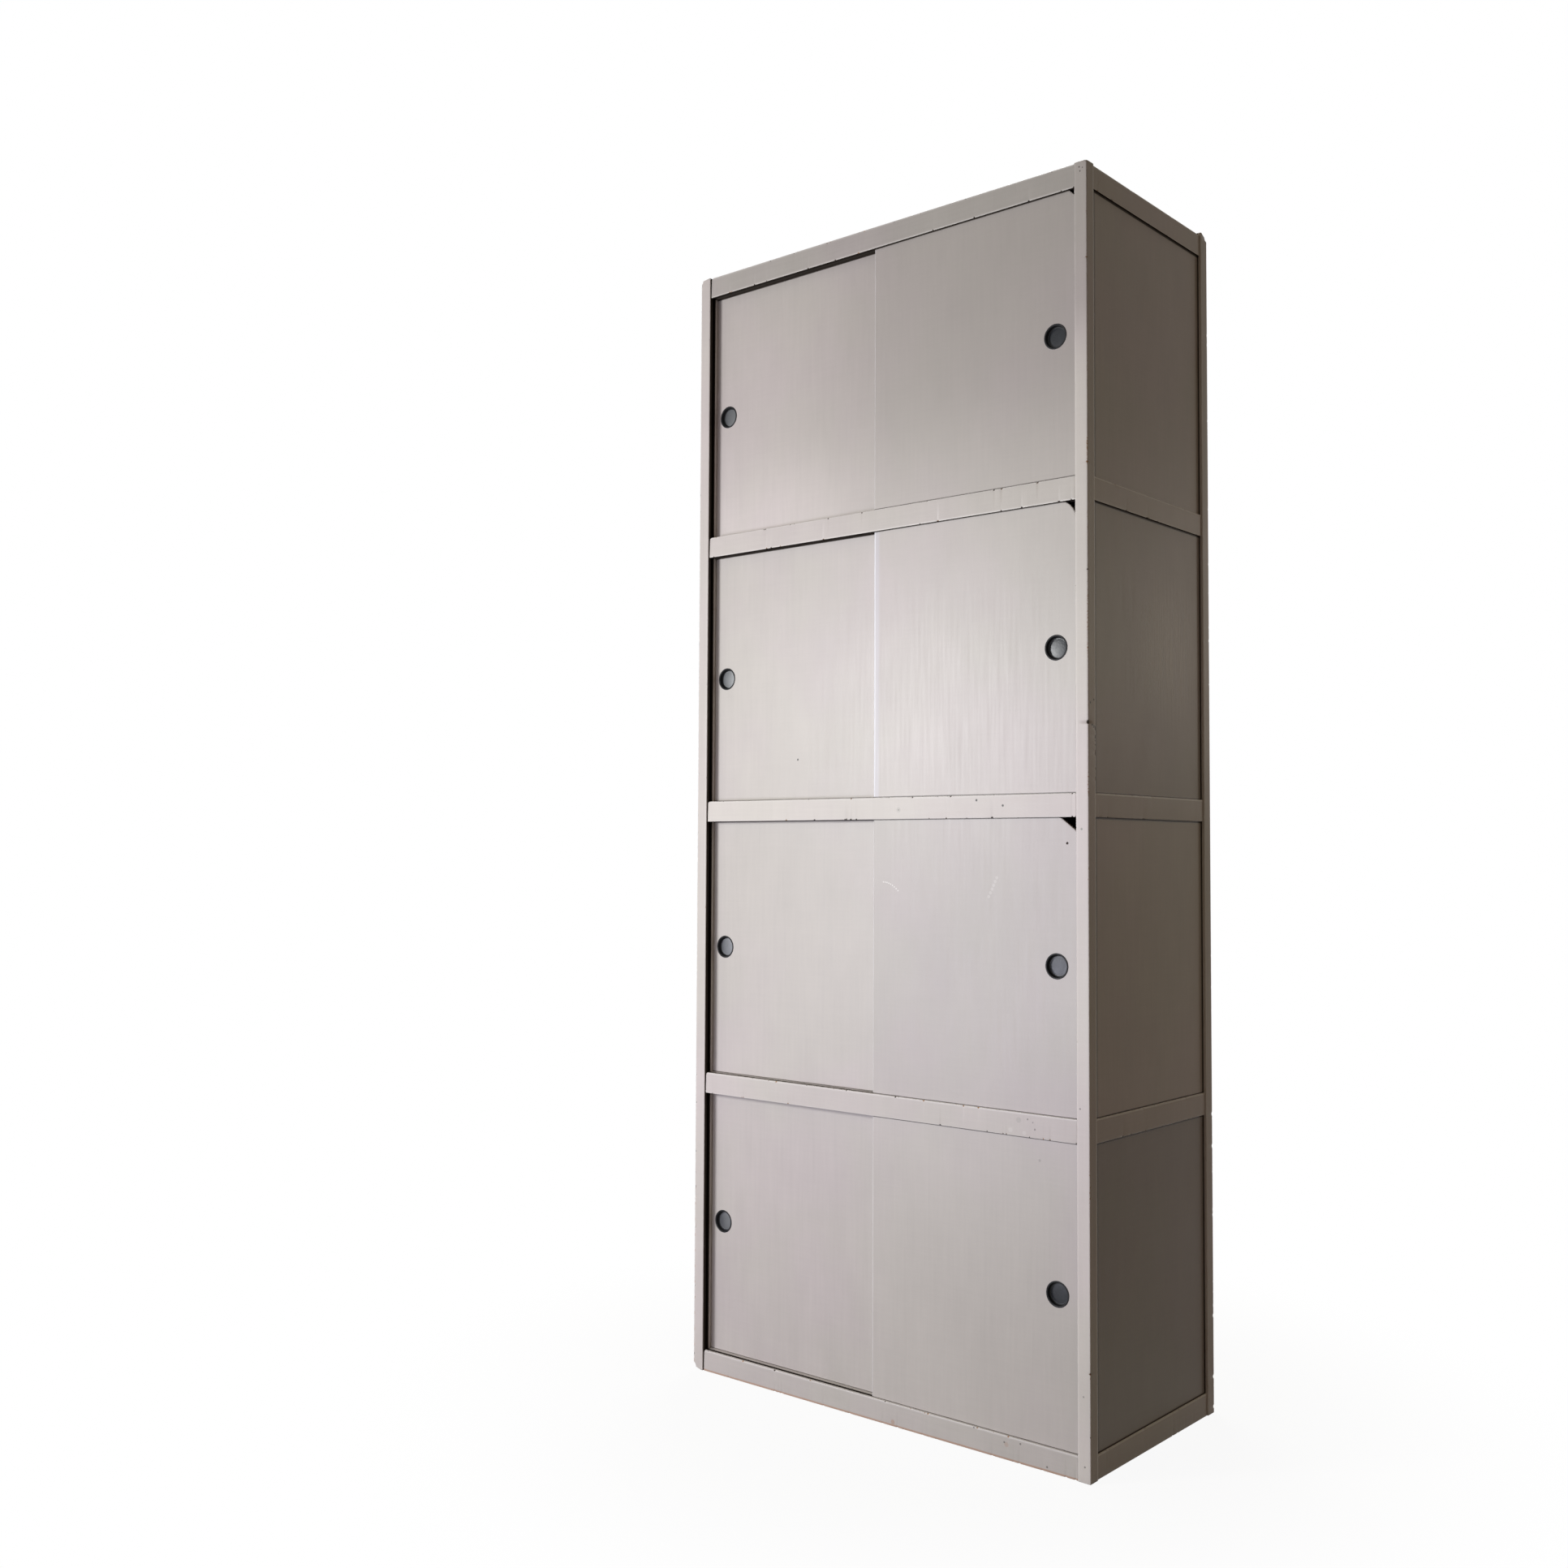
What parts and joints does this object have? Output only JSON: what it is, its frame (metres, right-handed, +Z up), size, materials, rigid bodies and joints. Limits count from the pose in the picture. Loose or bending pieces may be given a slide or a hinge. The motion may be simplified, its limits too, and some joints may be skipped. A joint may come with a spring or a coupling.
{
  "type": "sliding door cabinet",
  "caption": "Tall narrow free-standing storage cabinet of painted timber with shelves and overlapping sliding doors in tiers, each door with a round finger cup.",
  "frame": {"origin": "middle of the foot print, on the floor", "axes": "+Z up, doors face -Y, +X to the right as seen from the front"},
  "size_m": [0.812, 0.41, 2],
  "materials": {
    "painted_frame": "satin warm grey paint, brushed",
    "painted_door": "satin warm grey paint, brushed",
    "painted_panel": "satin warm grey paint, brushed",
    "bare_board": "bare plywood",
    "dowel_wood": "bare beech",
    "pull_metal": "satin dark grey"
  },
  "bodies": {
    "frame": {"post_front_left": "painted_frame", "post_front_right": "painted_frame", "post_rear_left": "painted_frame", "post_rear_right": "painted_frame", "front_rail_bottom": "painted_frame", "rear_rail_bottom": "painted_frame", "board_bottom": "bare_board", "side_rail_left_bottom": "painted_frame", "side_rail_right_bottom": "painted_frame", "front_rail_lower": "painted_frame", "rear_rail_lower": "painted_frame", "board_lower": "bare_board", "side_rail_left_lower": "painted_frame", "side_rail_right_lower": "painted_frame", "front_rail_middle": "painted_frame", "rear_rail_middle": "painted_frame", "board_middle": "bare_board", "side_rail_left_middle": "painted_frame", "side_rail_right_middle": "painted_frame", "front_rail_upper": "painted_frame", "rear_rail_upper": "painted_frame", "board_upper": "bare_board", "side_rail_left_upper": "painted_frame", "side_rail_right_upper": "painted_frame", "front_rail_top": "painted_frame", "rear_rail_top": "painted_frame", "board_top": "bare_board", "side_rail_left_top": "painted_frame", "side_rail_right_top": "painted_frame", "back_panel_bottom": "painted_panel", "side_panel_left_bottom": "painted_panel", "side_panel_right_bottom": "painted_panel", "back_panel_lower": "painted_panel", "side_panel_left_lower": "painted_panel", "side_panel_right_lower": "painted_panel", "back_panel_upper": "painted_panel", "side_panel_left_upper": "painted_panel", "side_panel_right_upper": "painted_panel", "back_panel_top": "painted_panel", "side_panel_left_top": "painted_panel", "side_panel_right_top": "painted_panel", "rail_dowels": "dowel_wood"},
    "bottom_left_door": {"door_bottom_left": "painted_door", "pull_bottom_left": "pull_metal"},
    "bottom_right_door": {"door_bottom_right": "painted_door", "pull_bottom_right": "pull_metal"},
    "lower_left_door": {"door_lower_left": "painted_door", "pull_lower_left": "pull_metal"},
    "lower_right_door": {"door_lower_right": "painted_door", "pull_lower_right": "pull_metal"},
    "upper_left_door": {"door_upper_left": "painted_door", "pull_upper_left": "pull_metal"},
    "upper_right_door": {"door_upper_right": "painted_door", "pull_upper_right": "pull_metal"},
    "top_left_door": {"door_top_left": "painted_door", "pull_top_left": "pull_metal"},
    "top_right_door": {"door_top_right": "painted_door", "pull_top_right": "pull_metal"}
  },
  "joints": [
    {"name": "bottom_left_door_slide", "type": "slide", "parent": "frame", "child": "bottom_left_door", "axis": [1, 0, 0], "range_m": [0, 0.3787]},
    {"name": "bottom_right_door_slide", "type": "slide", "parent": "frame", "child": "bottom_right_door", "axis": [-1, 0, 0], "range_m": [-0.006, 0.3836]},
    {"name": "lower_left_door_slide", "type": "slide", "parent": "frame", "child": "lower_left_door", "axis": [1, 0, 0], "range_m": [0, 0.3787]},
    {"name": "lower_right_door_slide", "type": "slide", "parent": "frame", "child": "lower_right_door", "axis": [-1, 0, 0], "range_m": [-0.006, 0.3836]},
    {"name": "upper_left_door_slide", "type": "slide", "parent": "frame", "child": "upper_left_door", "axis": [1, 0, 0], "range_m": [0, 0.3787]},
    {"name": "upper_right_door_slide", "type": "slide", "parent": "frame", "child": "upper_right_door", "axis": [-1, 0, 0], "range_m": [-0.006, 0.3836]},
    {"name": "top_left_door_slide", "type": "slide", "parent": "frame", "child": "top_left_door", "axis": [1, 0, 0], "range_m": [0, 0.3787]},
    {"name": "top_right_door_slide", "type": "slide", "parent": "frame", "child": "top_right_door", "axis": [-1, 0, 0], "range_m": [-0.006, 0.3836]}
  ]
}
